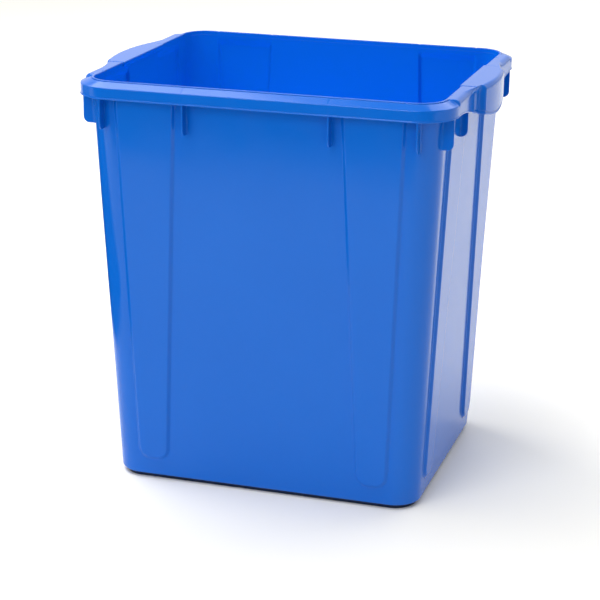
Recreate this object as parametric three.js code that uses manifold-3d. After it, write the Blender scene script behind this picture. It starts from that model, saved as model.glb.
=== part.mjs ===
// Rectangular wastebasket with a turned-down rim and two moulded hand grips.
//
// The real basket is one polypropylene moulding. Here every wall, corner, length of rim, grip, rib, the
// floor and the foot is a solid of its own, with a hairline gap to its neighbours, so that each feature
// can be measured and the inside stays open. Millimetres, +Z up. The origin is on the ground under the
// middle of the basket. X runs along the long side, the grips are at -X and +X, and the front is at -Y.

import * as THREE from 'three';
import { mergeVertices } from 'three/addons/utils/BufferGeometryUtils.js';
import Module from 'manifold-3d';

const wasm = await Module();
wasm.setup();

// The whole basket.
const HEIGHT = 460;
const HALF_LENGTH = 195.8; // middle of the basket to the outer face of an end wall, at rim height
const HALF_DEPTH = 166.7; // the same for the front and back walls
const SLOPE = 0.0432; // how far a wall leans out for each millimetre of height, 2.5 degrees
const WALL = 2.4; // wall thickness
const CORNER_RADIUS = 30; // outer radius of the upright corners
const GAP = 0.3; // between neighbouring solids

// Floor and foot.
const FOOT_HEIGHT = 4.6;
const FOOT_INSET = 5;
const FOOT_WIDTH = 9;
const FLOOR_THICKNESS = 3;

// Raised panels, two on every wall. Each edge leans, so it has one place high up and one low down.
const PANEL_RELIEF = 3.2;
const PANEL_BOTTOM = 26; // height of a panel's lower edge
const PANEL_CORNER = 13; // how far the rounding of a lower corner reaches along each edge
const PANEL_OVERRUN = 20; // how far a panel is drawn past the top of its wall, before it is cut off
const FRONT_PANEL = { inner: { high: 92, low: 110.5 }, outer: { high: 160, low: 144 } };
const END_PANEL = { inner: { high: 43, low: 80 }, outer: { high: 114, low: 113.5 } };

// Rim: an upright lip on top of the wall, a sloping shoulder and a hanging skirt.
const LIP_WIDTH = 2.6;
const LIP_HEIGHT = 6.3;
const LIP_ROUNDING = 1;
const RIM_REACH = 12.3; // skirt's outer face beyond the wall's outer face
const RIM_THICKNESS = 2.2;
const SHOULDER_DROP = 5.7;
const SKIRT_DROP = 18.1;

// Ends: the rim widens into a saddle, and then into a flat grip with a hanging apron.
const GRIP_HALF_WIDTH = 61;
const GRIP_THICKNESS = 2.6;
const SADDLE_DROP = 0.3; // a saddle's top lies this much lower than the grip
const TOP_EDGE = 202; // distance of a saddle's top edge from the middle
const TOP_EDGE_SWELL = 15.6; // how much further out the top reaches at the middle of the grip
const TOP_EDGE_REACH = 90; // where the swell begins
const BROW_OVERHANG = 1.8; // how far the rounding of the top edge reaches beyond it, at least
const BROW_SHARE = 0.75; // share of that reach where the rounding has dropped by the first depth
const BROW_DEPTHS = [1.5, 6];
const SADDLE_FACE = HALF_LENGTH + RIM_REACH; // flush with the skirt
const SADDLE_UNDERCUT = 0.8; // how far the apron lies in from the top edge where that swells
const GRIP_FACE = 218; // apron's outer face where the grip begins
const GRIP_STEP = { from: 52, to: 46.5 }; // the apron steps out to the grip's face between these two
const GRIP_CROWN = 3.7; // how much further out the apron is at its middle
const GRIP_CROWN_REACH = 45;
const APRON_DIP = 21.1; // how much lower the apron hangs at its middle than the skirt
const APRON_DIP_REACH = 150;
const APRON_DIP_SHARPNESS = 1.5;

// Ribs under the rim.
const RIB_THICKNESS = 2;
const RIB_BOTTOM = 408;
const RIB_ROUNDING = 7;
const RIB_TOP_SLOPE = 3; // how much lower a rib's top is at its outer edge
const RIB_CLEARANCE = 0.5; // between a rib's outer edge and the skirt
const SADDLE_RIB_EDGE = 205.2; // outer edge of the ribs behind the saddles
const FRONT_RIBS = [-174, -80, 80, 174];
const END_RIBS = [-144, -75, 75, 144];

// How finely curves are divided.
const CORNER_FACETS = 12; // in a quarter turn
const RIB_CORNER_FACETS = 8;
const PANEL_CORNER_FACETS = 6;
const GRIP_SLICES = 48;
const SADDLE_SLICES = 16;

const WELD_DISTANCE = 1e-4; // vertices closer than this count as one
const CUTTER_SIZE = 600; // side of a box that cuts away all that lies beyond one of its faces
const WALL_BOTTOM = FOOT_HEIGHT + GAP;
const WALL_TOP = HEIGHT - LIP_HEIGHT - GAP;
const QUARTER_TURN = Math.PI / 2;

// Turns a section drawn with x outwards and y up to face the front, so that it is extruded along X.
const SECTION_FACING_FRONT = new THREE.Matrix4().makeBasis(
  new THREE.Vector3(0, -1, 0),
  new THREE.Vector3(0, 0, 1),
  new THREE.Vector3(-1, 0, 0),
);

const basket = new THREE.Group();

function addPart(name, geometry, turn = 0) {
  const material = new THREE.MeshStandardMaterial({ color: 0x0b5bd0, roughness: 0.38, metalness: 0 });
  const mesh = new THREE.Mesh(geometry, material);
  mesh.name = name;
  mesh.rotation.z = turn;
  basket.add(mesh);
}

// ---- Solids and booleans ----

function toSolid(geometry) {
  const bare = geometry.clone();
  bare.deleteAttribute('normal');
  bare.deleteAttribute('uv');
  const merged = mergeVertices(bare, WELD_DISTANCE);
  const vertProperties = new Float32Array(merged.attributes.position.array);
  const triVerts = new Uint32Array(merged.index.array);
  return new wasm.Manifold(new wasm.Mesh({ numProp: 3, vertProperties, triVerts }));
}

function toGeometry(solid) {
  const mesh = solid.getMesh();
  const geometry = new THREE.BufferGeometry();
  geometry.setAttribute('position', new THREE.BufferAttribute(new Float32Array(mesh.vertProperties), 3));
  geometry.setIndex(new THREE.BufferAttribute(new Uint32Array(mesh.triVerts), 1));
  return geometry;
}

// Moves every vertex of a geometry to where `place` puts it.
function reshape(geometry, place) {
  const positions = geometry.attributes.position;
  const point = new THREE.Vector3();
  for (let i = 0; i < positions.count; i += 1) {
    place(point.fromBufferAttribute(positions, i));
    positions.setXYZ(i, point.x, point.y, point.z);
  }
  geometry.computeVertexNormals();
  return geometry;
}

// How far a wall has leaned in at a height, compared with its place at rim height.
function leanAt(height) {
  return SLOPE * (HEIGHT - height);
}

// ---- Floor and foot ----

function roundedRectangle(halfLength, halfDepth, radius) {
  const outline = new THREE.Shape();
  outline.absarc(halfLength - radius, halfDepth - radius, radius, 0, QUARTER_TURN);
  outline.absarc(radius - halfLength, halfDepth - radius, radius, QUARTER_TURN, 2 * QUARTER_TURN);
  outline.absarc(radius - halfLength, radius - halfDepth, radius, 2 * QUARTER_TURN, 3 * QUARTER_TURN);
  outline.absarc(halfLength - radius, radius - halfDepth, radius, 3 * QUARTER_TURN, 4 * QUARTER_TURN);
  return outline;
}

function insetOutline(inset) {
  const halfLength = HALF_LENGTH - leanAt(WALL_BOTTOM) - inset;
  const halfDepth = HALF_DEPTH - leanAt(WALL_BOTTOM) - inset;
  return roundedRectangle(halfLength, halfDepth, CORNER_RADIUS - inset);
}

function addFloor() {
  const outline = insetOutline(WALL + GAP);
  const floor = new THREE.ExtrudeGeometry(outline, { depth: FLOOR_THICKNESS, bevelEnabled: false });
  floor.translate(0, 0, WALL_BOTTOM);
  addPart('floor_panel', floor);
}

function addFoot() {
  const outline = insetOutline(FOOT_INSET);
  outline.holes.push(insetOutline(FOOT_INSET + FOOT_WIDTH));
  addPart('foot_ring', new THREE.ExtrudeGeometry(outline, { depth: FOOT_HEIGHT, bevelEnabled: false }));
}

// ---- Walls ----
// A wall is drawn flat, facing the front with its outer face in the plane y = 0, and then leaned.

function extrudeOutwards(outline, back, depth, bevel = 0) {
  const geometry = new THREE.ExtrudeGeometry(outline, {
    depth,
    bevelEnabled: bevel > 0,
    bevelThickness: bevel,
    bevelSize: bevel,
    bevelOffset: -bevel / 2,
    bevelSegments: 1,
    curveSegments: PANEL_CORNER_FACETS,
  });
  geometry.translate(0, 0, back);
  return geometry.rotateX(QUARTER_TURN);
}

function wallOutline(halfStraight) {
  const bottom = halfStraight - leanAt(WALL_BOTTOM) - GAP;
  const top = halfStraight - leanAt(WALL_TOP) - GAP;
  const outline = new THREE.Shape();
  outline.moveTo(-bottom, WALL_BOTTOM);
  outline.lineTo(bottom, WALL_BOTTOM);
  outline.lineTo(top, WALL_TOP);
  outline.lineTo(-top, WALL_TOP);
  return outline;
}

// A tall panel with leaning edges and round lower corners. It runs on past the top of the wall.
function panelOutline(panel, side) {
  const top = HEIGHT + PANEL_OVERRUN;
  const edgeAt = (edge, height) => {
    const share = (height - PANEL_BOTTOM) / (HEIGHT - PANEL_BOTTOM);
    return side * THREE.MathUtils.lerp(edge.low, edge.high, share);
  };
  const innerLow = edgeAt(panel.inner, PANEL_BOTTOM);
  const outerLow = edgeAt(panel.outer, PANEL_BOTTOM);
  const cornerTop = PANEL_BOTTOM + PANEL_CORNER;
  const outline = new THREE.Shape();
  outline.moveTo(edgeAt(panel.inner, top), top);
  outline.lineTo(edgeAt(panel.inner, cornerTop), cornerTop);
  outline.quadraticCurveTo(innerLow, PANEL_BOTTOM, innerLow + side * PANEL_CORNER, PANEL_BOTTOM);
  outline.lineTo(outerLow - side * PANEL_CORNER, PANEL_BOTTOM);
  outline.quadraticCurveTo(outerLow, PANEL_BOTTOM, edgeAt(panel.outer, cornerTop), cornerTop);
  outline.lineTo(edgeAt(panel.outer, top), top);
  return outline;
}

function addWall(name, turn, halfStraight, distance, panel) {
  let wall = toSolid(extrudeOutwards(wallOutline(halfStraight), -WALL, WALL));
  for (const side of [-1, 1]) {
    const outline = panelOutline(panel, side);
    const crest = toSolid(extrudeOutwards(outline, -WALL / 2, WALL / 2, PANEL_RELIEF));
    const hollow = toSolid(extrudeOutwards(outline, -WALL - CUTTER_SIZE, CUTTER_SIZE, PANEL_RELIEF));
    wall = wall.add(crest).subtract(hollow);
  }
  const above = new THREE.BoxGeometry(CUTTER_SIZE, CUTTER_SIZE, CUTTER_SIZE);
  above.translate(0, 0, WALL_TOP + CUTTER_SIZE / 2);
  wall = wall.subtract(toSolid(above));
  const geometry = reshape(toGeometry(wall), (point) => {
    point.y -= distance - leanAt(point.z);
  });
  addPart(name, geometry, turn);
}

function addWallCorner(name, index) {
  const outline = new THREE.Shape();
  outline.absarc(0, 0, CORNER_RADIUS, 0, QUARTER_TURN);
  outline.absarc(0, 0, CORNER_RADIUS - WALL, QUARTER_TURN, 0, true);
  const corner = new THREE.ExtrudeGeometry(outline, {
    depth: WALL_TOP - WALL_BOTTOM,
    bevelEnabled: false,
    curveSegments: CORNER_FACETS,
  });
  corner.translate(0, 0, WALL_BOTTOM);
  addPart(name, placeInCorner(corner, index, leanAt));
}

// Puts a quarter-round piece, drawn round the Z axis in the +X +Y quarter, in one of the four corners.
function placeInCorner(geometry, index, leanIn) {
  geometry.rotateZ(index * QUARTER_TURN);
  const sideX = index === 0 || index === 3 ? 1 : -1;
  const sideY = index < 2 ? 1 : -1;
  return reshape(geometry, (point) => {
    point.x += sideX * (HALF_LENGTH - CORNER_RADIUS - leanIn(point.z));
    point.y += sideY * (HALF_DEPTH - CORNER_RADIUS - leanIn(point.z));
  });
}

// ---- Rim ----

// The rim's section. `out` is the distance from the wall's outer face and `up` the height above the top.
function rimSection(offset) {
  const section = new THREE.Shape();
  const inside = offset - LIP_WIDTH;
  const skirt = offset + RIM_REACH;
  section.moveTo(inside, -LIP_HEIGHT);
  section.lineTo(offset, -LIP_HEIGHT);
  section.lineTo(offset, -LIP_ROUNDING - RIM_THICKNESS);
  section.lineTo(skirt - RIM_THICKNESS, -SHOULDER_DROP - RIM_THICKNESS / 2);
  section.lineTo(skirt - RIM_THICKNESS, -SKIRT_DROP);
  section.lineTo(skirt, -SKIRT_DROP);
  section.lineTo(skirt, -SHOULDER_DROP - LIP_ROUNDING / 2);
  section.lineTo(skirt - LIP_ROUNDING, -SHOULDER_DROP + LIP_ROUNDING / 2);
  section.lineTo(offset, -LIP_ROUNDING);
  section.lineTo(offset - LIP_ROUNDING, 0);
  section.lineTo(inside + LIP_ROUNDING, 0);
  section.lineTo(inside, -LIP_ROUNDING);
  return section;
}

function addRimLength(name, turn, halfStraight, distance) {
  const length = 2 * (halfStraight - GAP);
  const rim = new THREE.ExtrudeGeometry(rimSection(0), { depth: length, bevelEnabled: false });
  rim.translate(0, 0, -length / 2);
  rim.applyMatrix4(SECTION_FACING_FRONT);
  rim.translate(0, -distance, HEIGHT);
  addPart(name, rim, turn);
}

function addRimCorner(name, index) {
  const outline = rimSection(CORNER_RADIUS).getPoints();
  outline.push(outline[0].clone());
  const ring = new THREE.LatheGeometry(outline, 4 * CORNER_FACETS).rotateX(QUARTER_TURN);
  const quarter = new THREE.BoxGeometry(CUTTER_SIZE, CUTTER_SIZE, CUTTER_SIZE);
  quarter.translate(CUTTER_SIZE / 2, CUTTER_SIZE / 2, 0);
  const corner = toGeometry(toSolid(ring).intersect(toSolid(quarter)));
  corner.translate(0, 0, HEIGHT);
  addPart(name, placeInCorner(corner, index, () => 0));
}

// ---- Grips and saddles ----

function topEdgeAt(y) {
  const share = Math.min(Math.abs(y) / TOP_EDGE_REACH, 1);
  return TOP_EDGE + TOP_EDGE_SWELL * Math.cos(QUARTER_TURN * share);
}

function apronFaceAt(y) {
  const saddle = Math.max(SADDLE_FACE, topEdgeAt(y) - SADDLE_UNDERCUT);
  const grip = GRIP_FACE + GRIP_CROWN * Math.max(0, 1 - (y / GRIP_CROWN_REACH) ** 2);
  const intoStep = GRIP_STEP.from - Math.abs(y);
  const share = THREE.MathUtils.smoothstep(intoStep, 0, GRIP_STEP.from - GRIP_STEP.to);
  return THREE.MathUtils.lerp(saddle, grip, share);
}

function apronBottomAt(y) {
  const share = Math.min(Math.abs(y) / APRON_DIP_REACH, 1);
  const dip = (0.5 + 0.5 * Math.cos(Math.PI * share)) ** APRON_DIP_SHARPNESS;
  return HEIGHT - SKIRT_DROP - APRON_DIP * dip;
}

// Outer line of the section at y, from the foot of the lip over the top and down to the lower edge.
function endRimLine(y, top) {
  const inside = HALF_LENGTH - LIP_WIDTH;
  const edge = topEdgeAt(y);
  const face = apronFaceAt(y);
  const brow = Math.max(face, edge + BROW_OVERHANG);
  const [roundingDrop, faceDrop] = BROW_DEPTHS;
  return [
    [inside, HEIGHT - LIP_HEIGHT],
    [inside, top],
    [edge, top],
    [THREE.MathUtils.lerp(edge, brow, BROW_SHARE), top - roundingDrop],
    [face, top - faceDrop],
    [face, apronBottomAt(y)],
  ];
}

// Moves a line of [out, up] points square to itself, to the side away from its left hand.
function offsetLine(line, distance) {
  const normals = line.slice(1).map(([out, up], i) => {
    const run = new THREE.Vector2(out - line[i][0], up - line[i][1]).normalize();
    return new THREE.Vector2(run.y, -run.x);
  });
  return line.map(([out, up], i) => {
    const before = normals[Math.max(i - 1, 0)];
    const after = normals[Math.min(i, normals.length - 1)];
    const mitre = before.clone().add(after);
    const scale = (2 * distance) / mitre.lengthSq();
    return [out + mitre.x * scale, up + mitre.y * scale];
  });
}

// A bent strip of even thickness, whose section may change along Y: a box whose vertices are moved.
function addStrip(name, turn, top, from, to, slices) {
  const spans = endRimLine(0, top).length - 1;
  const strip = new THREE.BoxGeometry(1, 1, 1, spans, slices, 1);
  reshape(strip, (point) => {
    const y = THREE.MathUtils.lerp(from, to, point.y + 0.5);
    const outerLine = endRimLine(y, top);
    const line = point.z > 0 ? outerLine : offsetLine(outerLine, GRIP_THICKNESS);
    const [out, up] = line[Math.round((point.x + 0.5) * spans)];
    point.set(out, y, up);
  });
  addPart(name, strip, turn);
}

function addEndRim(side, turn) {
  addStrip(`${side}_grip`, turn, HEIGHT, -GRIP_HALF_WIDTH, GRIP_HALF_WIDTH, GRIP_SLICES);
  const top = HEIGHT - SADDLE_DROP;
  const near = GRIP_HALF_WIDTH + GAP;
  const far = HALF_DEPTH - CORNER_RADIUS - GAP;
  const [towardsMinusY, towardsPlusY] = turn === 0 ? ['front', 'back'] : ['back', 'front'];
  addStrip(`${side}_${towardsMinusY}_saddle`, turn, top, -far, -near, SADDLE_SLICES);
  addStrip(`${side}_${towardsPlusY}_saddle`, turn, top, near, far, SADDLE_SLICES);
}

// ---- Ribs ----

// Distance from the middle to a face that follows the basket's outline, a place `along` the wall.
function faceAt(along, halfStraight, distance, radius) {
  const intoCorner = Math.max(Math.abs(along) - halfStraight, 0);
  return distance - CORNER_RADIUS + Math.sqrt(radius ** 2 - intoCorner ** 2);
}

// A rib stands between the wall and the rim.
function addRib(name, turn, along, wallFaceAt, edge) {
  const top = HEIGHT - LIP_HEIGHT;
  const outline = new THREE.Shape();
  outline.moveTo(wallFaceAt(RIB_BOTTOM) + GAP, RIB_BOTTOM);
  outline.lineTo(edge - RIB_ROUNDING, RIB_BOTTOM);
  outline.absarc(edge - RIB_ROUNDING, RIB_BOTTOM + RIB_ROUNDING, RIB_ROUNDING, -QUARTER_TURN, 0);
  outline.lineTo(edge, top - RIB_TOP_SLOPE);
  outline.lineTo(wallFaceAt(top) + GAP, top);
  const rib = new THREE.ExtrudeGeometry(outline, {
    depth: RIB_THICKNESS,
    bevelEnabled: false,
    curveSegments: RIB_CORNER_FACETS,
  });
  rib.translate(0, 0, -RIB_THICKNESS / 2);
  rib.applyMatrix4(SECTION_FACING_FRONT);
  rib.translate(along, 0, 0);
  addPart(name, rib, turn);
}

function addSkirtRib(name, turn, along, halfStraight, distance) {
  const widest = Math.abs(along) + RIB_THICKNESS / 2;
  const skirtRadius = CORNER_RADIUS + RIM_REACH - RIM_THICKNESS;
  const edge = faceAt(widest, halfStraight, distance, skirtRadius) - RIB_CLEARANCE;
  const wallFaceAt = (height) => {
    const lean = leanAt(height);
    const nearest = Math.abs(along) - RIB_THICKNESS / 2;
    return faceAt(nearest, halfStraight - lean, distance - lean, CORNER_RADIUS);
  };
  addRib(name, turn, along, wallFaceAt, edge);
}

function addSaddleRib(name, turn, along) {
  const wallFaceAt = (height) => HALF_LENGTH - leanAt(height) + PANEL_RELIEF;
  addRib(name, turn, along, wallFaceAt, SADDLE_RIB_EDGE);
}

// ---- Assembly ----

const STRAIGHT_ALONG_X = HALF_LENGTH - CORNER_RADIUS;
const STRAIGHT_ALONG_Y = HALF_DEPTH - CORNER_RADIUS;

addFloor();
addFoot();
addWall('front_wall', 0, STRAIGHT_ALONG_X, HALF_DEPTH, FRONT_PANEL);
addWall('back_wall', 2 * QUARTER_TURN, STRAIGHT_ALONG_X, HALF_DEPTH, FRONT_PANEL);
addWall('right_wall', QUARTER_TURN, STRAIGHT_ALONG_Y, HALF_LENGTH, END_PANEL);
addWall('left_wall', 3 * QUARTER_TURN, STRAIGHT_ALONG_Y, HALF_LENGTH, END_PANEL);

['back_right', 'back_left', 'front_left', 'front_right'].forEach((place, index) => {
  addWallCorner(`${place}_corner`, index);
  addRimCorner(`${place}_rim_corner`, index);
});

addRimLength('front_rim', 0, STRAIGHT_ALONG_X, HALF_DEPTH);
addRimLength('back_rim', 2 * QUARTER_TURN, STRAIGHT_ALONG_X, HALF_DEPTH);
addEndRim('right', 0);
addEndRim('left', 2 * QUARTER_TURN);

FRONT_RIBS.forEach((along, index) => {
  addSkirtRib(`front_rib_${index + 1}`, 0, along, STRAIGHT_ALONG_X, HALF_DEPTH);
  addSkirtRib(`back_rib_${index + 1}`, 2 * QUARTER_TURN, along, STRAIGHT_ALONG_X, HALF_DEPTH);
});
END_RIBS.forEach((along, index) => {
  for (const [side, turn] of [['right', QUARTER_TURN], ['left', 3 * QUARTER_TURN]]) {
    const name = `${side}_rib_${index + 1}`;
    if (Math.abs(along) < STRAIGHT_ALONG_Y) {
      addSaddleRib(name, turn, along);
    } else {
      addSkirtRib(name, turn, along, STRAIGHT_ALONG_Y, HALF_LENGTH);
    }
  }
});

export default basket;
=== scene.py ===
# Blue plastic wastebasket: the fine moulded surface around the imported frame, and its studio.
#
# Metres, +Z up. X runs along the long side, the grips are at -X and +X, and the front faces -Y.
# The real basket is one moulding. It is kept in one piece for each frame node, with the seams between
# them closed and the shading carried across, so that no seam shows.

import math
from collections import namedtuple

import bpy
import numpy as np
from mathutils import Matrix, Vector


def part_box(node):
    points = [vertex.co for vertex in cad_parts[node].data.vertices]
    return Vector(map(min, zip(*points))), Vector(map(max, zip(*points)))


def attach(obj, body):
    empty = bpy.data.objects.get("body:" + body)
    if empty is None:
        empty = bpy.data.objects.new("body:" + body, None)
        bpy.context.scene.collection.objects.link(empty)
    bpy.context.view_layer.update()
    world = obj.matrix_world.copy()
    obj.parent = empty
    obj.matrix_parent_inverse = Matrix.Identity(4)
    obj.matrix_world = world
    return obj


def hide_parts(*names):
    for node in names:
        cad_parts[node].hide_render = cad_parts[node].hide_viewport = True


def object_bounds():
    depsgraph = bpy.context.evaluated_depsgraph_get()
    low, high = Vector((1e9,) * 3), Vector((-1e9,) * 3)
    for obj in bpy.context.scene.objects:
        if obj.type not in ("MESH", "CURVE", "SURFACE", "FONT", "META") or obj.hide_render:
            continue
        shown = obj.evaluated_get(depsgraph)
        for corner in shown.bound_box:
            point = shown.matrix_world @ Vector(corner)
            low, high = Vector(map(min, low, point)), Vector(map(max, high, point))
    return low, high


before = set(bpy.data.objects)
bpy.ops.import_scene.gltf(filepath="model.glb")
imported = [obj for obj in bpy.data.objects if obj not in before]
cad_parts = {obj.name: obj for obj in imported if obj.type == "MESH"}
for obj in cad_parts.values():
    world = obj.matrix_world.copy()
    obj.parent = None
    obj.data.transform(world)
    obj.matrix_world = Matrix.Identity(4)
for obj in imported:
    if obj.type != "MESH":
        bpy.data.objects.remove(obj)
CAD_LOW, CAD_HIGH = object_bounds()

MM = 0.001

# ---- Sizes ----

# A rim corner's box gives the basket's outline, and the floor's and front wall's boxes give its base.
RIM_CORNER_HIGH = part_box("back_right_rim_corner")[1]
FLOOR_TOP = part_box("floor_panel")[1].z
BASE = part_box("front_wall")[0].z
HEIGHT = CAD_HIGH.z

RIM_REACH = 12.3 * MM  # skirt's outer face beyond the wall's outer face
HALF_LENGTH = RIM_CORNER_HIGH.x - RIM_REACH  # to a wall's outer face, at rim height
HALF_DEPTH = RIM_CORNER_HIGH.y - RIM_REACH
CORNER_RADIUS = 30 * MM
CORNER_STEPS = 22
SLOPE = 0.0432  # how far a wall leans out for each unit of height
WALL = 2.4 * MM
SEAM_DROP = 6.45 * MM  # the walls end and the rim starts this far below the top
SEAM_HEIGHT = HEIGHT - SEAM_DROP

# Base of the walls, floor and foot.
BASE_ROUNDING = 2.8 * MM
FLOOR_FILLET = 5 * MM
FILLET_STEPS = 6
FOOT_INSET = 5 * MM
FOOT_WIDTH = 9 * MM
FOOT_ROUNDING = 1 * MM
FOOT_STEPS = 4

# Raised panels, two on each wall. Each side edge leans, so it has a place at the rim and one at the
# panel's bottom.
PANEL_RELIEF = 3.2 * MM
PANEL_BOTTOM = 26 * MM
PANEL_CORNER = 13 * MM
PANEL_STEP = 4.5 * MM  # width of the sloping step round a panel
PANEL_MARGIN = 0.6 * PANEL_STEP  # columns of points are gathered this far to each side of its edges
PANEL_BENDS = (22 * MM, 43 * MM)  # the rows of points are 1 mm apart here, round the lower corners
PANEL_FADE = (442 * MM, 453 * MM)  # a panel fades out between these heights, under the rim
FRONT_PANEL = {"inner": (92 * MM, 110.5 * MM), "outer": (160 * MM, 144 * MM)}
END_PANEL = {"inner": (43 * MM, 80 * MM), "outer": (114 * MM, 113.5 * MM)}

# Rim and skirt.
LIP_INSET = 2.6 * MM  # from the wall's outer face in to the lip's inner face
GRIP_LIP_INSET = 4.4 * MM  # the same along a grip, where the flat top reaches further in
SKIRT_DROP = 18.1 * MM
SKIRT_THICKNESS = 2.2 * MM
RIM_FOOT_DROP = 3 * MM  # below this the rim's foot starts to follow the leaning wall
RIM_FOOT_REACH = 5 * MM  # and only this far out

# Grips and saddles. A saddle joins a grip to the collar at the rim's corner. The apron is the face that
# hangs from both, and the brow is the rounding over it, where the flat top turns down.
SADDLE_FACE = HALF_LENGTH + RIM_REACH  # flush with the skirt
SADDLE_TOP_DROP = 0.3 * MM
SADDLE_END = HALF_DEPTH - CORNER_RADIUS
SADDLE_UNDERCUT = 0.8 * MM  # how far the apron lies in from the top edge where that swells
COLLAR_GAP = 0.4 * MM  # the rim corner's section runs on this far along the end wall
COLLAR_LENGTH = 3 * MM
BROW_LENGTH = 6 * MM  # the brow takes longer than the rest to grow out of the collar
BROW_OVERHANG = 1.8 * MM  # how far the brow reaches beyond the flat top's edge, at least
BROW_DEPTH = 7.5 * MM  # the brow has come in to the apron's face at this depth
GRIP_HALF_WIDTH = 61 * MM
GRIP_BLEND = 0.5 * MM
GRIP_FACE = 218 * MM
GRIP_STEP = (46.5 * MM, 52 * MM)  # the apron steps out to the grip's face between these two
GRIP_CROWN = 3.7 * MM
GRIP_CROWN_REACH = 45 * MM
APRON_THICKNESS = 2.6 * MM
APRON_DIP = 21.1 * MM  # how much lower the apron hangs at the middle of the grip
APRON_DIP_REACH = 150 * MM
APRON_DIP_SHARPNESS = 1.5
TOP_EDGE = 202 * MM  # where a saddle's flat top ends
TOP_EDGE_SWELL = 15.6 * MM  # how much further out the top reaches at the middle of the grip
TOP_EDGE_REACH = 90 * MM

# Crease between a grip and its saddles.
CREASE_AT = GRIP_HALF_WIDTH + 0.2 * MM
CREASE_DEPTH = 1.3 * MM
CREASE_WIDTH = 0.55 * MM
CREASE_FADE = (-4.5 * MM, -1.5 * MM)  # it fades out between these heights, from the top

# Ribs between the wall and the rim.
RIB_BOTTOM = 408 * MM
RIB_THICKNESS = 2 * MM
RIB_ROUNDING = 7 * MM
RIB_REACH = 10.5 * MM  # free edge beyond the wall's outer face at rim height
RIB_ROOT = 0.8 * MM  # how deep a rib starts inside the wall
RIB_EDGE_ROUNDING = 0.7 * MM
RIB_EDGE_SHARE = 0.4  # thickness left at the free edge
RIB_FILLET_REACH = 2.2 * MM
RIB_FILLET_SPREAD = 1.1 * MM
RIB_TOP_DROP = 2.9 * MM  # a rib's top follows the underside of the shoulder
RIB_TOP_SLOPE = 0.33
RIB_TOP_LEVEL = HEIGHT - 5 * MM
FRONT_RIBS = (-174 * MM, -80 * MM, 80 * MM, 174 * MM)
END_RIBS = (-144 * MM, -75 * MM, 75 * MM, 144 * MM)
SADDLE_RIB_EDGE = 205.1 * MM  # free edge of a rib under a saddle

# Small marks of the moulding.
SINK_DEPTH = 0.22 * MM  # faint hollow on the rim opposite a rib
SINK_WIDTH = 0.8 * MM
TICK_DEPTH = 0.5 * MM  # dimple in the lip above a panel's edge
TICK_WIDTH = 0.9 * MM
MARK_SPAN = 2 * MM  # stations are gathered this far to each side of a mark
FRONT_TICKS = (-160 * MM, -92 * MM, 92 * MM, 160 * MM)
END_TICKS = (-114 * MM, 114 * MM)

SMOOTH_ANGLE = math.radians(38)  # a piece with no shading normals of its own is sharp above this


def smoothstep(low, high, value):
    share = np.clip((value - low) / (high - low), 0, 1)
    return share * share * (3 - 2 * share)


def lerp(start, end, share):
    return start + (end - start) * share


def even(count):
    """Equal steps from 0, left out, to 1."""
    return np.linspace(0, 1, count + 1)[1:]


def gathered(count):
    """Steps from 0, left out, to 1 that are closer together at both ends."""
    return 0.5 - 0.5 * np.cos(math.pi * even(count))


# ---- Materials ----

DEEP_BLUE = (0.001, 0.125, 0.6)
LIGHT_BLUE = (0.002, 0.138, 0.64)
# Painted shade: a dark navy line low on the foot stands for the shadow under the basket's edge.
PAINTED_FOOT_SHADE = (0.001, 0.012, 0.05)
PAINTED_FOOT_SHADE_FADE = (3 * MM, 5.4 * MM)  # the foot's painted shade fades out between these heights
ROUGHNESS = (0.11, 0.16)
SCUFF_ROUGHNESS = 0.1
PLASTIC_IOR = 1.36
WAVE_HEIGHT = 0.9 * MM
GRAIN_HEIGHT = 0.02 * MM

PALE_FLOOR = (0.97, 0.955, 0.9)
PALER_FLOOR = (0.985, 0.97, 0.915)
FLAG_BLACK = (0.005, 0.005, 0.005, 1)


class Nodes:
    """Short calls for building a material's node tree."""

    def __init__(self, name):
        self.material = bpy.data.materials.new(name)
        self.material.use_nodes = True
        self.tree = self.material.node_tree
        self.tree.nodes.clear()
        output = self.add("ShaderNodeOutputMaterial")
        self.shader = self.add("ShaderNodeBsdfPrincipled")
        self.link(self.shader.outputs["BSDF"], output.inputs["Surface"])

    def add(self, kind, **settings):
        node = self.tree.nodes.new(kind)
        for key, value in settings.items():
            setattr(node, key, value)
        return node

    def link(self, source, target):
        self.tree.links.new(source, target)

    def place(self):
        return self.add("ShaderNodeTexCoord").outputs["Object"]

    def noise(self, vector, scale, detail=2.0, roughness=0.5, distortion=0.0):
        node = self.add("ShaderNodeTexNoise")
        node.inputs["Scale"].default_value = scale
        node.inputs["Detail"].default_value = detail
        node.inputs["Roughness"].default_value = roughness
        node.inputs["Distortion"].default_value = distortion
        self.link(vector, node.inputs["Vector"])
        return node.outputs["Fac"]

    def ramp(self, value, start, end):
        """Turns the range `start` of a value smoothly into the range `end`."""
        node = self.add("ShaderNodeMapRange", interpolation_type="SMOOTHSTEP")
        for key, number in zip(("From Min", "From Max", "To Min", "To Max"), (*start, *end)):
            node.inputs[key].default_value = number
        self.link(value, node.inputs["Value"])
        return node.outputs["Result"]

    def total(self, first, second):
        node = self.add("ShaderNodeMath", operation="ADD")
        self.link(first, node.inputs[0])
        self.link(second, node.inputs[1])
        return node.outputs["Value"]

    def mix(self, factor, first, second):
        node = self.add("ShaderNodeMix", data_type="RGBA")
        self.link(factor, node.inputs["Factor"])
        for socket, value in zip((node.inputs["A"], node.inputs["B"]), (first, second)):
            if isinstance(value, tuple):
                socket.default_value = (*value, 1)
            else:
                self.link(value, socket)
        return node.outputs["Result"]

    def bump(self, height, distance, strength, normal=None):
        node = self.add("ShaderNodeBump")
        node.inputs["Distance"].default_value = distance
        node.inputs["Strength"].default_value = strength
        self.link(height, node.inputs["Height"])
        if normal is not None:
            self.link(normal, node.inputs["Normal"])
        return node.outputs["Normal"]


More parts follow.
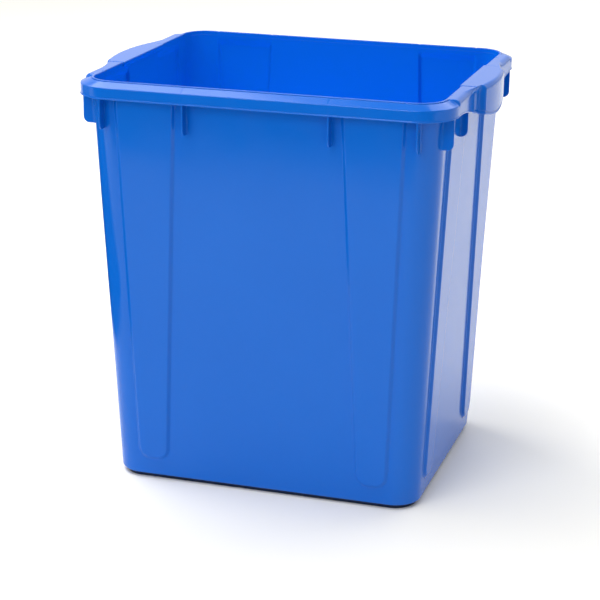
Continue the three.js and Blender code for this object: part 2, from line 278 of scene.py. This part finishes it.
def make_polypropylene():
    """Smooth moulded plastic: slightly cloudy blue, faint waves and grain, scattered dull scuffs, and
    painted shade along the foot.
    """
    nodes = Nodes("blue_polypropylene")
    place_on_basket = nodes.place()
    cloud = nodes.noise(place_on_basket, scale=7, detail=3)
    flow = nodes.noise(place_on_basket, scale=22, detail=4, distortion=0.6)
    grain = nodes.noise(place_on_basket, scale=1400, detail=2)
    scuffs = nodes.noise(place_on_basket, scale=160, detail=6, roughness=0.7)

    blues = nodes.mix(cloud, DEEP_BLUE, LIGHT_BLUE)
    split = nodes.add("ShaderNodeSeparateXYZ")
    nodes.link(place_on_basket, split.inputs["Vector"])
    # Painted shade: the base colour turns dark navy low on the foot, for the shadow under the basket's
    # edge.
    above_foot = nodes.ramp(split.outputs["Z"], start=PAINTED_FOOT_SHADE_FADE, end=(0, 1))
    nodes.link(nodes.mix(above_foot, PAINTED_FOOT_SHADE, blues), nodes.shader.inputs["Base Color"])

    smooth = nodes.ramp(flow, start=(0.3, 0.7), end=ROUGHNESS)
    scuffed = nodes.ramp(scuffs, start=(0.62, 0.75), end=(0, SCUFF_ROUGHNESS))
    nodes.link(nodes.total(smooth, scuffed), nodes.shader.inputs["Roughness"])

    wave = nodes.bump(cloud, WAVE_HEIGHT, strength=0.35)
    surface = nodes.bump(grain, GRAIN_HEIGHT, strength=0.25, normal=wave)
    nodes.link(surface, nodes.shader.inputs["Normal"])
    nodes.shader.inputs["IOR"].default_value = PLASTIC_IOR
    return nodes.material


def make_floor_paper():
    nodes = Nodes("studio_floor")
    speckle = nodes.noise(nodes.place(), scale=3)
    nodes.link(nodes.mix(speckle, PALE_FLOOR, PALER_FLOOR), nodes.shader.inputs["Base Color"])
    nodes.shader.inputs["Roughness"].default_value = 0.9
    nodes.shader.inputs["Specular IOR Level"].default_value = 0.1
    return nodes.material


def make_flag_cloth():
    nodes = Nodes("studio_flag")
    nodes.shader.inputs["Base Color"].default_value = FLAG_BLACK
    nodes.shader.inputs["Roughness"].default_value = 1
    nodes.shader.inputs["Specular IOR Level"].default_value = 0
    return nodes.material


polypropylene = make_polypropylene()

# ---- The basket's outline ----
# A place on it is `along` the straight part of a wall from its middle, and then at `angle` round the
# corner after it. `out` is the distance outside the wall's outer face.
# For each wall: its name, the walls before and after it, the corner after it, the direction along it and
# the one out of it, half its length, how far its outer face is from the basket's middle, and its panels.

Wall = namedtuple("Wall", "name before after corner ahead outward half_length distance panel")
FRONT_FIELDS = {"half_length": HALF_LENGTH, "distance": HALF_DEPTH, "panel": FRONT_PANEL}
END_FIELDS = {"half_length": HALF_DEPTH, "distance": HALF_LENGTH, "panel": END_PANEL}
WALLS = [
    Wall("front", "left", "right", "front_right", (1, 0), (0, -1), **FRONT_FIELDS),
    Wall("right", "front", "back", "back_right", (0, 1), (1, 0), **END_FIELDS),
    Wall("back", "right", "left", "back_left", (-1, 0), (0, 1), **FRONT_FIELDS),
    Wall("left", "back", "front", "front_left", (0, -1), (-1, 0), **END_FIELDS),
]


def is_end(wall):
    return wall.name in ("left", "right")


def lean_at(height):
    return SLOPE * (HEIGHT - height)


def straight_end(wall, height):
    return wall.half_length - CORNER_RADIUS - lean_at(height)


def corner_angles():
    """The angles inside a corner, between its two walls."""
    return [math.pi / 2 * step / CORNER_STEPS for step in range(1, CORNER_STEPS)]


def place(wall, along, angle, height, out):
    """Points on the outline, as rows of x, y, z."""
    radius = CORNER_RADIUS + out
    forward = along + radius * math.sin(angle)
    aside = wall.distance - lean_at(height) - CORNER_RADIUS + radius * math.cos(angle)
    x = wall.ahead[0] * forward + wall.outward[0] * aside
    y = wall.ahead[1] * forward + wall.outward[1] * aside
    return np.stack([x, y, np.broadcast_to(height, np.shape(x))], axis=-1)


# ---- Pieces ----


def make_piece(name, vertices, faces, normals=None, smooth=None):
    """A piece that stands for the frame node of that name. Where normals are given they shade the faces
    marked as smooth, and the others are flat."""
    mesh = bpy.data.meshes.new(f"{name}_fine")
    mesh.from_pydata([tuple(v) for v in vertices], [], faces)
    mesh.update()
    mesh.shade_smooth()
    if normals is None:
        mesh.set_sharp_from_angle(angle=SMOOTH_ANGLE)
    else:
        loops = []
        for polygon, is_smooth in zip(mesh.polygons, smooth):
            flat = tuple(polygon.normal)
            loops += [tuple(normals[v]) if is_smooth else flat for v in polygon.vertices]
        mesh.normals_split_custom_set(loops)
    piece = bpy.data.objects.new(f"{name}_fine", mesh)
    bpy.context.scene.collection.objects.link(piece)
    piece.data.materials.append(polypropylene)
    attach(piece, "root")
    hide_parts(name)
    return piece


class Band:
    """A section carried round the outline, kept as a grid of points, stations by places on the section.
    It is cut into pieces between chosen stations, and they share the normals of the whole band."""

    def __init__(self, rows, hidden):
        self.points = np.array(rows)
        self.hidden = hidden  # which of the section's edges lie in a seam
        self.normals = self.find_normals()

    def find_normals(self):
        """The normals, leaving out the faces that are hidden in a seam."""
        here = self.points
        across = np.roll(here, -1, axis=1)
        ahead = np.roll(here, -1, axis=0)
        far = np.roll(across, -1, axis=0)
        faces = np.cross(far - here, across - ahead)
        faces[:, self.hidden] = 0
        total = faces + np.roll(faces, 1, axis=0)
        total = total + np.roll(total, 1, axis=1)
        length = np.linalg.norm(total, axis=2, keepdims=True)
        return total / np.maximum(length, 1e-15)

    def piece(self, name, start, end):
        """A closed piece between two stations, named after the frame node that it stands for."""
        count, size = self.points.shape[:2]
        stations = [(start + i) % count for i in range((end - start) % count + 1)]
        vertices = self.points[stations].reshape(-1, 3)
        normals = self.normals[stations].reshape(-1, 3)
        faces, smooth = [], []
        for i in range(len(stations) - 1):
            for j in range(size):
                k = (j + 1) % size
                here, ahead = i * size, (i + 1) * size
                faces.append((here + j, ahead + j, ahead + k, here + k))
                smooth.append(not self.hidden[j])
        last = (len(stations) - 1) * size
        faces.append(tuple(range(size)))
        faces.append(tuple(range(last + size - 1, last - 1, -1)))
        smooth += [False, False]
        return make_piece(name, vertices, faces, normals, smooth)


# ---- Walls ----


def panel_edges(panel, height):
    """A panel's two side edges at a height, as distances from the middle of the wall."""
    share = (height - PANEL_BOTTOM) / (HEIGHT - PANEL_BOTTOM)
    inner = lerp(panel["inner"][1], panel["inner"][0], share)
    outer = lerp(panel["outer"][1], panel["outer"][0], share)
    return inner, outer


def panel_relief(panel, along, height):
    """How far the wall stands out at a place: a panel with round lower corners and a soft step."""
    inner, outer = panel_edges(panel, height)
    aside = PANEL_CORNER - np.minimum(np.abs(along) - inner, outer - np.abs(along))
    below = PANEL_CORNER - (height - PANEL_BOTTOM)
    reach = np.hypot(np.maximum(aside, 0), np.maximum(below, 0))
    inside = PANEL_CORNER - reach - np.minimum(np.maximum(aside, below), 0)
    rise = smoothstep(-PANEL_STEP / 2, PANEL_STEP / 2, inside)
    return PANEL_RELIEF * rise * (1 - smoothstep(*PANEL_FADE, height))


def wall_section():
    """Heights and distances out of a wall's section, from its toe on the floor over the top and back,
    and which of its edges lie in a seam."""
    turn = np.linspace(0, math.pi / 2, FILLET_STEPS + 1)
    bends_low, bends_high = PANEL_BENDS
    heights = np.concatenate([
        np.linspace(BASE + BASE_ROUNDING, bends_low, 5)[1:-1],
        np.linspace(bends_low, bends_high, 22)[:-1],
        np.linspace(bends_high, PANEL_FADE[0], 34)[1:-1],
        np.linspace(PANEL_FADE[0], SEAM_HEIGHT, 12),
    ])
    inside = heights[heights > FLOOR_TOP + FLOOR_FILLET][::-1]
    section_heights = [
        [BASE],
        BASE + BASE_ROUNDING * (1 - np.cos(turn)),
        heights,
        inside,
        FLOOR_TOP + FLOOR_FILLET * (1 - np.sin(turn)),
    ]
    section_outs = [
        [-WALL - FLOOR_FILLET],
        -BASE_ROUNDING * (1 - np.sin(turn)),
        np.zeros(len(heights)),
        np.full(len(inside), -WALL),
        -WALL - FLOOR_FILLET * (1 - np.cos(turn)),
    ]
    top_seam = len(turn) + len(heights)
    hidden = np.zeros(sum(len(part) for part in section_heights), bool)
    hidden[top_seam] = True
    hidden[-1] = True
    return np.concatenate(section_heights), np.concatenate(section_outs), hidden


def wall_columns(wall, heights):
    """Places along a wall, one row for each column and one column for each height.
    The columns follow the leaning edges of the panels."""
    inner, outer = panel_edges(wall.panel, heights)
    keys = [
        0 * heights,
        inner - PANEL_MARGIN,
        inner + PANEL_MARGIN,
        outer - PANEL_MARGIN,
        outer + PANEL_MARGIN,
        straight_end(wall, heights),
    ]
    spacings = [even(5), even(10), gathered(20), even(10), even(4)]
    half = [
        lerp(start, end, step)
        for start, end, spacing in zip(keys, keys[1:], spacings)
        for step in spacing
    ]
    return np.array([-row for row in half[::-1]] + [keys[0]] + half)


def build_walls():
    heights, outs, hidden = wall_section()
    rows, starts, ends = [], {}, {}
    for wall in WALLS:
        starts[wall.name] = len(rows)
        for along in wall_columns(wall, heights):
            relief = panel_relief(wall.panel, along, heights)
            rows.append(place(wall, along, 0, heights, outs + relief))
        ends[wall.name] = len(rows) - 1
        for angle in corner_angles():
            rows.append(place(wall, straight_end(wall, heights), angle, heights, outs))
    band = Band(rows, hidden)
    for wall in WALLS:
        band.piece(f"{wall.name}_wall", starts[wall.name], ends[wall.name])
        band.piece(f"{wall.corner}_corner", ends[wall.name], starts[wall.after])


# ---- Floor and foot ----


def outline_stations(height, out):
    """The whole outline at one height, corner by corner."""
    rows = []
    for wall in WALLS:
        end = straight_end(wall, height)
        for angle in [0, *corner_angles(), math.pi / 2]:
            rows.append(place(wall, end, angle, height, out))
    return np.array(rows)


def build_floor():
    """The floor between the walls' toes. Its sides are upright, so both faces have the base's outline."""
    low = outline_stations(BASE, -WALL - FLOOR_FILLET)
    high = low.copy()
    high[:, 2] = FLOOR_TOP
    count = len(low)
    faces = [(i, (i + 1) % count, count + (i + 1) % count, count + i) for i in range(count)]
    faces.append(tuple(range(count - 1, -1, -1)))
    faces.append(tuple(range(count, 2 * count)))
    make_piece("floor_panel", np.concatenate([low, high]), faces)


def build_foot():
    """A low ring under the floor with rounded edges."""
    turn = np.linspace(0, math.pi / 2, FOOT_STEPS + 1)
    drop = FOOT_ROUNDING * (1 - np.sin(turn))
    shift = FOOT_ROUNDING * (1 - np.cos(turn))
    outer, inner = -FOOT_INSET, -FOOT_INSET - FOOT_WIDTH
    heights = np.concatenate([[BASE], drop, drop[::-1], [BASE]])
    outs = np.concatenate([[inner], inner + shift, outer - shift[::-1], [outer]])
    section = [outline_stations(height, out) for height, out in zip(heights, outs)]
    rows = np.stack(section, axis=1)
    count, size = rows.shape[:2]
    faces = []
    for i in range(count):
        ahead = (i + 1) % count
        for j in range(size):
            k = (j + 1) % size
            faces.append((i * size + j, ahead * size + j, ahead * size + k, i * size + k))
    make_piece("foot_ring", rows.reshape(-1, 3), faces)


# ---- Rim ----
# Its section is a closed line with rounded corners, and it changes along an end wall from the standard
# one to a saddle's and a grip's. All three have the same corners in the same order. The tables are in
# millimetres. Each corner is its place out from the wall and up from the top of the basket, then how
# far its rounding reaches before and after it.

CORNER_SEGMENTS = [
    0,  # seam with the wall, outside
    4,  # underside of the shoulder, at the wall
    5,  # underside of the shoulder, at the skirt or apron
    3,  # lower edge, inside
    4,  # lower edge, outside
    4,  # bead along the lower edge
    3,  # top of the bead
    3,  # face above the bead
    6,  # top of the face
    10,  # inner end of the shoulder, or the brow
    4,  # groove behind the lip, or flat top
    5,  # lip, outside
    5,  # lip, inside
    2,  # inner face
    2,  # inner face, where it meets the wall's
    0,  # seam with the wall, inside
]
BROW = 9  # index of the brow's corner

SEAM = -SEAM_DROP / MM
WALL_INSIDE = -WALL / MM
LIP_INSIDE = -LIP_INSET / MM
SKIRT_BOTTOM = -SKIRT_DROP / MM
SKIRT_OUTSIDE = RIM_REACH / MM
SKIRT_INSIDE = (RIM_REACH - SKIRT_THICKNESS) / MM


def standard_section():
    """Lip, sloping shoulder and hanging skirt."""
    return np.array([
        [0, SEAM, 0, 0],
        [0, -3.4, 1.2, 1.5],
        [SKIRT_INSIDE, -7.1, 1.2, 1.2],
        [SKIRT_INSIDE, SKIRT_BOTTOM, 0.4, 0.4],
        [SKIRT_OUTSIDE + 0.3, SKIRT_BOTTOM, 0.4, 0.35],
        [SKIRT_OUTSIDE + 0.6, SKIRT_BOTTOM + 0.9, 0.4, 0.4],
        [SKIRT_OUTSIDE - 0.1, SKIRT_BOTTOM + 1.7, 0.25, 0.25],
        [SKIRT_OUTSIDE, SKIRT_BOTTOM + 2.1, 0.2, 0.2],
        [SKIRT_OUTSIDE, -5.75, 0.8, 0.8],
        [0.8, -1.05, 0.6, 0.3],
        [0.1, -1.75, 0.3, 0.3],
        [0, 0, 0.9, 0.9],
        [LIP_INSIDE, 0, 1, 1],
        [LIP_INSIDE, -4.4, 0.3, 0.3],
        [LIP_INSIDE, -5.6, 0.3, 0.3],
        [WALL_INSIDE, SEAM, 0, 0],
    ]) * MM


def apron_places(y):
    """Where the apron's two faces, its bottom, the flat top's edge and the brow are, in millimetres."""
    face = (apron_face(y) - HALF_LENGTH) / MM
    inside = face - APRON_THICKNESS / MM
    bottom = -(SKIRT_DROP + apron_dip(y)) / MM
    edge = (top_edge(y) - HALF_LENGTH) / MM
    brow = max(face, edge + BROW_OVERHANG / MM)
    return face, inside, bottom, edge, brow


def saddle_section(y):
    """A flat top that turns down into the apron."""
    face, inside, bottom, edge, brow = apron_places(y)
    top = -SADDLE_TOP_DROP / MM
    return np.array([
        [0, SEAM, 0, 0],
        [0, -3.6, 1, 1],
        [inside, -3.8, 2.5, 2.5],
        [inside, bottom, 0.7, 0.7],
        [face, bottom, 0.7, 0.5],
        [face + 0.25, bottom + 1.3, 0.4, 0.4],
        [face - 0.1, bottom + 2.2, 0.2, 0.2],
        [face, bottom + 2.6, 0.2, 0.2],
        [face, top - BROW_DEPTH / MM, 3, 1],
        [brow, top, 6, brow - edge],
        [2, top, 0.2, 0.2],
        [1, top, 0.2, 0.2],
        [LIP_INSIDE, top, 1, 1],
        [LIP_INSIDE, -4.4, 0.3, 0.3],
        [LIP_INSIDE, -5.6, 0.3, 0.3],
        [WALL_INSIDE, SEAM, 0, 0],
    ]) * MM


def grip_section(y):
    """The saddle's shape with a rounder lower edge, and a flat top that reaches further in."""
    face, inside, bottom, edge, brow = apron_places(y)
    lip_inside = -GRIP_LIP_INSET / MM
    return np.array([
        [0, SEAM, 0, 0],
        [0, -2.9, 1, 1],
        [inside, -2.9, 3, 3],
        [inside, bottom, 0.9, 0.9],
        [face - 0.3, bottom, 0.9, 0.9],
        [face + 0.2, bottom + 2, 0.9, 0.8],
        [face - 0.9, bottom + 3.8, 0.4, 0.3],
        [face, bottom + 4.5, 0.3, 0.3],
        [face, -BROW_DEPTH / MM, 3, 1],
        [brow, 0, 6, brow - edge],
        [2, 0, 0.2, 0.2],
        [1, 0, 0.2, 0.2],
        [lip_inside, 0, 1, 1],
        [lip_inside, -4, 0.8, 0.8],
        [LIP_INSIDE, -5.6, 0.5, 0.3],
        [WALL_INSIDE, SEAM, 0, 0],
    ]) * MM


def apron_face(y):
    saddle = max(SADDLE_FACE, top_edge(y) - SADDLE_UNDERCUT)
    grip = GRIP_FACE + GRIP_CROWN * max(0, 1 - (y / GRIP_CROWN_REACH) ** 2)
    return lerp(grip, saddle, smoothstep(*GRIP_STEP, abs(y)))


def apron_dip(y):
    share = min(abs(y) / APRON_DIP_REACH, 1)
    return APRON_DIP * (0.5 + 0.5 * math.cos(math.pi * share)) ** APRON_DIP_SHARPNESS


def top_edge(y):
    share = min(abs(y) / TOP_EDGE_REACH, 1)
    return TOP_EDGE + TOP_EDGE_SWELL * math.cos(math.pi / 2 * share)


def rounded(corners):
    """The section's points, out and up, with each corner rounded by a quarter of an ellipse."""
    places = corners[:, :2]
    before = np.roll(places, 1, axis=0) - places
    after = np.roll(places, -1, axis=0) - places
    before /= np.linalg.norm(before, axis=1, keepdims=True)
    after /= np.linalg.norm(after, axis=1, keepdims=True)
    points = []
    for corner, segments in enumerate(CORNER_SEGMENTS):
        reach_before = before[corner] * corners[corner, 2]
        reach_after = after[corner] * corners[corner, 3]
        turns = np.linspace(0, math.pi / 2, segments + 1) if segments else [math.pi / 4]
        for turn in turns:
            blend_before = reach_before * (1 - math.sin(turn))
            blend_after = reach_after * (1 - math.cos(turn))
            points.append(places[corner] + blend_before + blend_after)
    return np.array(points)


def end_section(y):
    """The section on an end wall: the standard one near the corners, then a saddle, then the grip."""
    from_corner = SADDLE_END - COLLAR_GAP - abs(y)
    to_saddle = np.full((len(CORNER_SEGMENTS), 1), smoothstep(0, COLLAR_LENGTH, from_corner))
    to_saddle[BROW] = smoothstep(0, BROW_LENGTH, from_corner)
    to_grip = smoothstep(-GRIP_BLEND, GRIP_BLEND, GRIP_HALF_WIDTH - abs(y))
    outer = lerp(standard_section(), saddle_section(y), to_saddle)
    section = rounded(lerp(outer, grip_section(y), to_grip))
    crease = CREASE_DEPTH * math.exp(-(((abs(y) - CREASE_AT) / CREASE_WIDTH) ** 2))
    section[:, 1] -= crease * smoothstep(*CREASE_FADE, section[:, 1])
    return section


def beside(places, steps):
    return [spot + shift for spot in places for shift in np.linspace(-MARK_SPAN, MARK_SPAN, steps)]


# Stations along half an end's rim: up to where, and how many. They are closest at the grip's step, at
# the crease and at the collar.
END_RIM_SPANS = [
    (44 * MM, 12),
    (53 * MM, 19),
    (59 * MM, 7),
    (63 * MM, 21),
    (92 * MM, 14),
    (124 * MM, 9),
    (SADDLE_END, 14),
]


def end_rim_stations():
    half = [beside(END_TICKS[1:], 9)]
    start = 0
    for end, count in END_RIM_SPANS:
        half.append(np.linspace(start, end, count))
        start = end
    half = np.unique(np.round(np.concatenate(half), 7))
    return np.concatenate([-half[:0:-1], half])


def front_rim_stations():
    end = HALF_LENGTH - CORNER_RADIUS
    stations = [np.linspace(-end, end, 15), beside(FRONT_RIBS[1:3], 11), beside(FRONT_TICKS, 9)]
    return np.unique(np.round(np.concatenate(stations), 7))


# Where on the section the small marks are.
LIP_BAND = {"above": -1.2 * MM, "within": 0.2 * MM}
SHOULDER_BAND = {"above": -6.7 * MM, "beyond": 1 * MM}
SKIRT_BAND = {"below": -6.7 * MM, "beyond": 11.5 * MM}


def marked(section, along, ribs, ticks):
    """The section with a faint hollow opposite a rib, and a dimple in the lip above a panel's edge."""
    hollow = SINK_DEPTH * sum(math.exp(-(((along - rib) / SINK_WIDTH) ** 2)) for rib in ribs)
    dimple = TICK_DEPTH * sum(math.exp(-(((along - tick) / TICK_WIDTH) ** 2)) for tick in ticks)
    outside, up = section[:, 0], section[:, 1]
    lip = (up > LIP_BAND["above"]) & (outside < LIP_BAND["within"])
    shoulder = (up > SHOULDER_BAND["above"]) & (outside > SHOULDER_BAND["beyond"])
    skirt = (up <= SKIRT_BAND["below"]) & (outside > SKIRT_BAND["beyond"])
    moved = section.copy()
    moved[shoulder, 1] -= hollow
    moved[skirt, 0] -= hollow
    moved[lip, 1] -= dimple
    return moved


def rim_row(wall, along, angle, section):
    """The rim doesn't lean with the walls below it, but its foot follows them to the seam."""
    leaning = smoothstep(HEIGHT - RIM_FOOT_DROP, SEAM_HEIGHT, HEIGHT + section[:, 1])
    at_wall = section[:, 0] < RIM_FOOT_REACH
    inset = np.where(at_wall, leaning * lean_at(SEAM_HEIGHT), 0)
    points = place(wall, along - inset * (1 if angle else 0), angle, HEIGHT, section[:, 0])
    points = points - inset[:, None] * np.array([*wall.outward, 0])
    points[:, 2] = HEIGHT + section[:, 1]
    return points


def build_rim():
    rows, starts, ends, creases = [], {}, {}, {}
    standard = rounded(standard_section())
    for wall in WALLS:
        starts[wall.name] = len(rows)
        stations = end_rim_stations() if is_end(wall) else front_rim_stations()
        for along in stations:
            if is_end(wall):
                section = marked(end_section(along), along, (), END_TICKS)
            else:
                section = marked(standard, along, FRONT_RIBS, FRONT_TICKS)
            rows.append(rim_row(wall, along, 0, section))
        if is_end(wall):
            nearest = [int(np.argmin(np.abs(stations - spot))) for spot in (-CREASE_AT, CREASE_AT)]
            creases[wall.name] = [starts[wall.name] + index for index in nearest]
        ends[wall.name] = len(rows) - 1
        for angle in corner_angles():
            rows.append(rim_row(wall, straight_end(wall, HEIGHT), angle, standard))
    hidden = np.zeros(len(standard), bool)
    hidden[-1] = True
    cut_rim(Band(rows, hidden), starts, ends, creases)


def cut_rim(band, starts, ends, creases):
    for wall in WALLS:
        name = wall.name
        band.piece(f"{wall.corner}_rim_corner", ends[name], starts[wall.after])
        if is_end(wall):
            first, second = creases[name]
            band.piece(f"{name}_{wall.before}_saddle", starts[name], first)
            band.piece(f"{name}_grip", first, second)
            band.piece(f"{name}_{wall.after}_saddle", second, ends[name])
        else:
            band.piece(f"{name}_rim", starts[name], ends[name])


# ---- Ribs ----

# Rows and columns of a rib's points, as shares of its height and width. The rows are closer together at
# its rounded bottom, and the columns at its root and free edge.
RIB_ROWS = (0, 0.005, 0.013, 0.03, 0.06, 0.1, 0.16, 0.24, 0.36, 0.5, 0.64, 0.66, 0.84, 1)
RIB_COLUMNS = np.array([0, 0.06, 0.12, 0.2, 0.3, 0.45, 0.6, 0.75, 0.87, 0.93, 0.965, 0.985, 1])


def rib_row(wall, along, edge, share):
    """Points across a rib at one share of its height: reach, half its thickness, and height."""
    level = lerp(RIB_BOTTOM, RIB_TOP_LEVEL, share)
    into_corner = max(abs(along) - straight_end(wall, level), 0)
    face = wall.distance - lean_at(level) - CORNER_RADIUS + math.sqrt(CORNER_RADIUS**2 - into_corner**2)
    face += panel_relief(wall.panel, along, level)
    lift = min(level - RIB_BOTTOM, RIB_ROUNDING)
    free = edge - RIB_ROUNDING + math.sqrt(RIB_ROUNDING**2 - (RIB_ROUNDING - lift) ** 2)
    reach = lerp(face - RIB_ROOT, free, RIB_COLUMNS)
    top = HEIGHT - RIB_TOP_DROP - RIB_TOP_SLOPE * np.maximum(reach - face, 0)
    height = lerp(RIB_BOTTOM, top, share)
    to_free = np.minimum(free - reach, height - RIB_BOTTOM)
    rounding = np.clip(1 - to_free / RIB_EDGE_ROUNDING, 0, 1)
    half = RIB_THICKNESS / 2 * lerp(RIB_EDGE_SHARE, 1, np.sqrt(1 - rounding**2))
    root = np.clip(1 - np.maximum(reach - face, 0) / RIB_FILLET_REACH, 0, 1)
    half += RIB_FILLET_SPREAD * root**2
    return np.stack([reach, half, height], axis=-1)


def build_rib(name, wall, along, edge):
    """A thin web between the wall and the rim, with a rounded free edge and a fillet at its root."""
    sheet = np.array([rib_row(wall, along, edge, share) for share in RIB_ROWS])
    vertices = []
    for side in (-1, 1):
        for reach, half, height in sheet.reshape(-1, 3):
            position = along + side * half
            x = wall.ahead[0] * position + wall.outward[0] * reach
            y = wall.ahead[1] * position + wall.outward[1] * reach
            vertices.append((x, y, height))
    rows, columns = sheet.shape[:2]
    size = rows * columns
    faces = []
    for i in range(rows - 1):
        for j in range(columns - 1):
            corner = i * columns + j
            ring = (corner, corner + 1, corner + columns + 1, corner + columns)
            faces.append(ring)
            faces.append(tuple(size + v for v in ring[::-1]))
    border = list(range(columns))
    border += [i * columns + columns - 1 for i in range(1, rows)]
    border += [(rows - 1) * columns + j for j in range(columns - 2, -1, -1)]
    border += [i * columns for i in range(rows - 2, 0, -1)]
    for here, following in zip(border, border[1:] + border[:1]):
        faces.append((following, here, size + here, size + following))
    make_piece(name, vertices, faces)


def rib_edge(wall, along):
    """How far from the basket's middle a rib's free edge is."""
    if is_end(wall) and abs(along) < SADDLE_END:
        return SADDLE_RIB_EDGE
    into_corner = max(abs(along) - straight_end(wall, HEIGHT), 0)
    radius = CORNER_RADIUS + RIB_REACH
    return wall.distance - CORNER_RADIUS + math.sqrt(radius**2 - into_corner**2)


def build_ribs():
    for wall in WALLS:
        for number, along in enumerate(END_RIBS if is_end(wall) else FRONT_RIBS, start=1):
            build_rib(f"{wall.name}_rib_{number}", wall, along, rib_edge(wall, along))


# ---- Studio ----

CARD_HEIGHT = 2 * MM
CAMERA_POSITION = Vector((0.61747, -2.02048, 0.86013))
CAMERA_AIM = Vector((-0.00194, 0, 0.18216))
CAMERA_ROLL = math.radians(0.612)
CAMERA_SENSOR = 36  # millimetres, as the lens is
CAMERA_LENS = 114.56


def add_card(name, low, high, height, material):
    """A flat rectangle that faces up."""
    corners = [(low[0], low[1]), (high[0], low[1]), (high[0], high[1]), (low[0], high[1])]
    mesh = bpy.data.meshes.new(name)
    mesh.from_pydata([(x, y, height) for x, y in corners], [], [(0, 1, 2, 3)])
    mesh.materials.append(material)
    card = bpy.data.objects.new(name, mesh)
    bpy.context.scene.collection.objects.link(card)
    return card


def build_cards():
    """The floor, and two dark flags on it that only reflections see. They keep the floor's reflection
    from washing out the blue of the front and of the left corner."""
    add_card("studio_floor", (-14, -6), (14, 28), 0, make_floor_paper())
    cloth = make_flag_cloth()
    flags = [
        add_card("front_flag", (-5, -5), (5, -1.25), CARD_HEIGHT, cloth),
        add_card("left_flag", (-2.5, -0.6), (-0.55, 0.9), CARD_HEIGHT, cloth),
    ]
    for flag in flags:
        flag.visible_camera = False
        flag.visible_diffuse = False
        flag.visible_shadow = False


def add_light(name, position, aim, size, power):
    light = bpy.data.lights.new(name, "AREA")
    light.shape = "RECTANGLE"
    light.size, light.size_y = size
    light.energy = power
    lamp = bpy.data.objects.new(name, light)
    lamp.location = position
    direction = Vector(aim) - Vector(position)
    lamp.rotation_euler = direction.to_track_quat("-Z", "Y").to_euler()
    bpy.context.scene.collection.objects.link(lamp)
    return lamp


def build_lights():
    """Large soft lights. The rim's left half mirrors the key, and the light behind brightens the floor
    that the right end mirrors. The glow inside stands for the light that comes through thin walls."""
    add_light("key", position=(-1.4, 0.5, 2.0), aim=(-1.2, 0.4, 0), size=(1.4, 1.6), power=29)
    add_light("behind", position=(1.0, 2.8, 3.0), aim=(0.8, 2.3, 0), size=(4, 2.4), power=62)
    add_light("top", position=(-1.2, -1.4, 5.8), aim=(0, -0.4, 0), size=(4, 2), power=136)
    add_light("fill", position=(-1.6, -5.0, 3.8), aim=(0, 0, 0.35), size=(4, 2.8), power=120)
    glow = add_light("glow", position=(0, 0, 0.04), aim=(0, 0, 1), size=(0.2, 0.14), power=1.3)
    glow.visible_camera = False
    glow.visible_glossy = False


def build_world():
    """A soft room: bright low down behind the basket, dimmer overhead and in front."""
    world = bpy.data.worlds.new("studio")
    world.use_nodes = True
    tree = world.node_tree
    direction = tree.nodes.new("ShaderNodeTexCoord")
    split = tree.nodes.new("ShaderNodeSeparateXYZ")
    tree.links.new(direction.outputs["Generated"], split.inputs["Vector"])

    def grade(axis, start, end):
        node = tree.nodes.new("ShaderNodeMapRange")
        node.interpolation_type = "SMOOTHSTEP"
        for key, value in zip(("From Min", "From Max", "To Min", "To Max"), (*start, *end)):
            node.inputs[key].default_value = value
        tree.links.new(split.outputs[axis], node.inputs["Value"])
        return node.outputs["Result"]

    behind = grade("Y", start=(-0.2, 0.8), end=(0, 0.55))
    low_down = grade("Z", start=(0.35, 0.75), end=(1, 0))
    everywhere = 0.38
    strength = tree.nodes.new("ShaderNodeMath")
    strength.operation = "MULTIPLY_ADD"
    tree.links.new(behind, strength.inputs[0])
    tree.links.new(low_down, strength.inputs[1])
    strength.inputs[2].default_value = everywhere
    background = tree.nodes["Background"]
    background.inputs["Color"].default_value = (1, 1, 1, 1)
    tree.links.new(strength.outputs["Value"], background.inputs["Strength"])
    bpy.context.scene.world = world


def build_camera():
    forward = (CAMERA_AIM - CAMERA_POSITION).normalized()
    level = forward.cross(Vector((0, 0, 1))).normalized()
    upright = level.cross(forward)
    right = level * math.cos(CAMERA_ROLL) + upright * math.sin(CAMERA_ROLL)
    up = upright * math.cos(CAMERA_ROLL) - level * math.sin(CAMERA_ROLL)
    turn = Matrix((right, up, -forward)).transposed().to_4x4()
    lens = bpy.data.cameras.new("camera")
    lens.sensor_width = CAMERA_SENSOR
    lens.lens = CAMERA_LENS
    camera = bpy.data.objects.new("camera", lens)
    camera.matrix_world = Matrix.Translation(CAMERA_POSITION) @ turn
    bpy.context.scene.collection.objects.link(camera)
    bpy.context.scene.camera = camera


build_walls()
build_floor()
build_foot()
build_rim()
build_ribs()
build_cards()
build_world()
build_lights()
build_camera()
bpy.context.scene.view_settings.view_transform = "Standard"
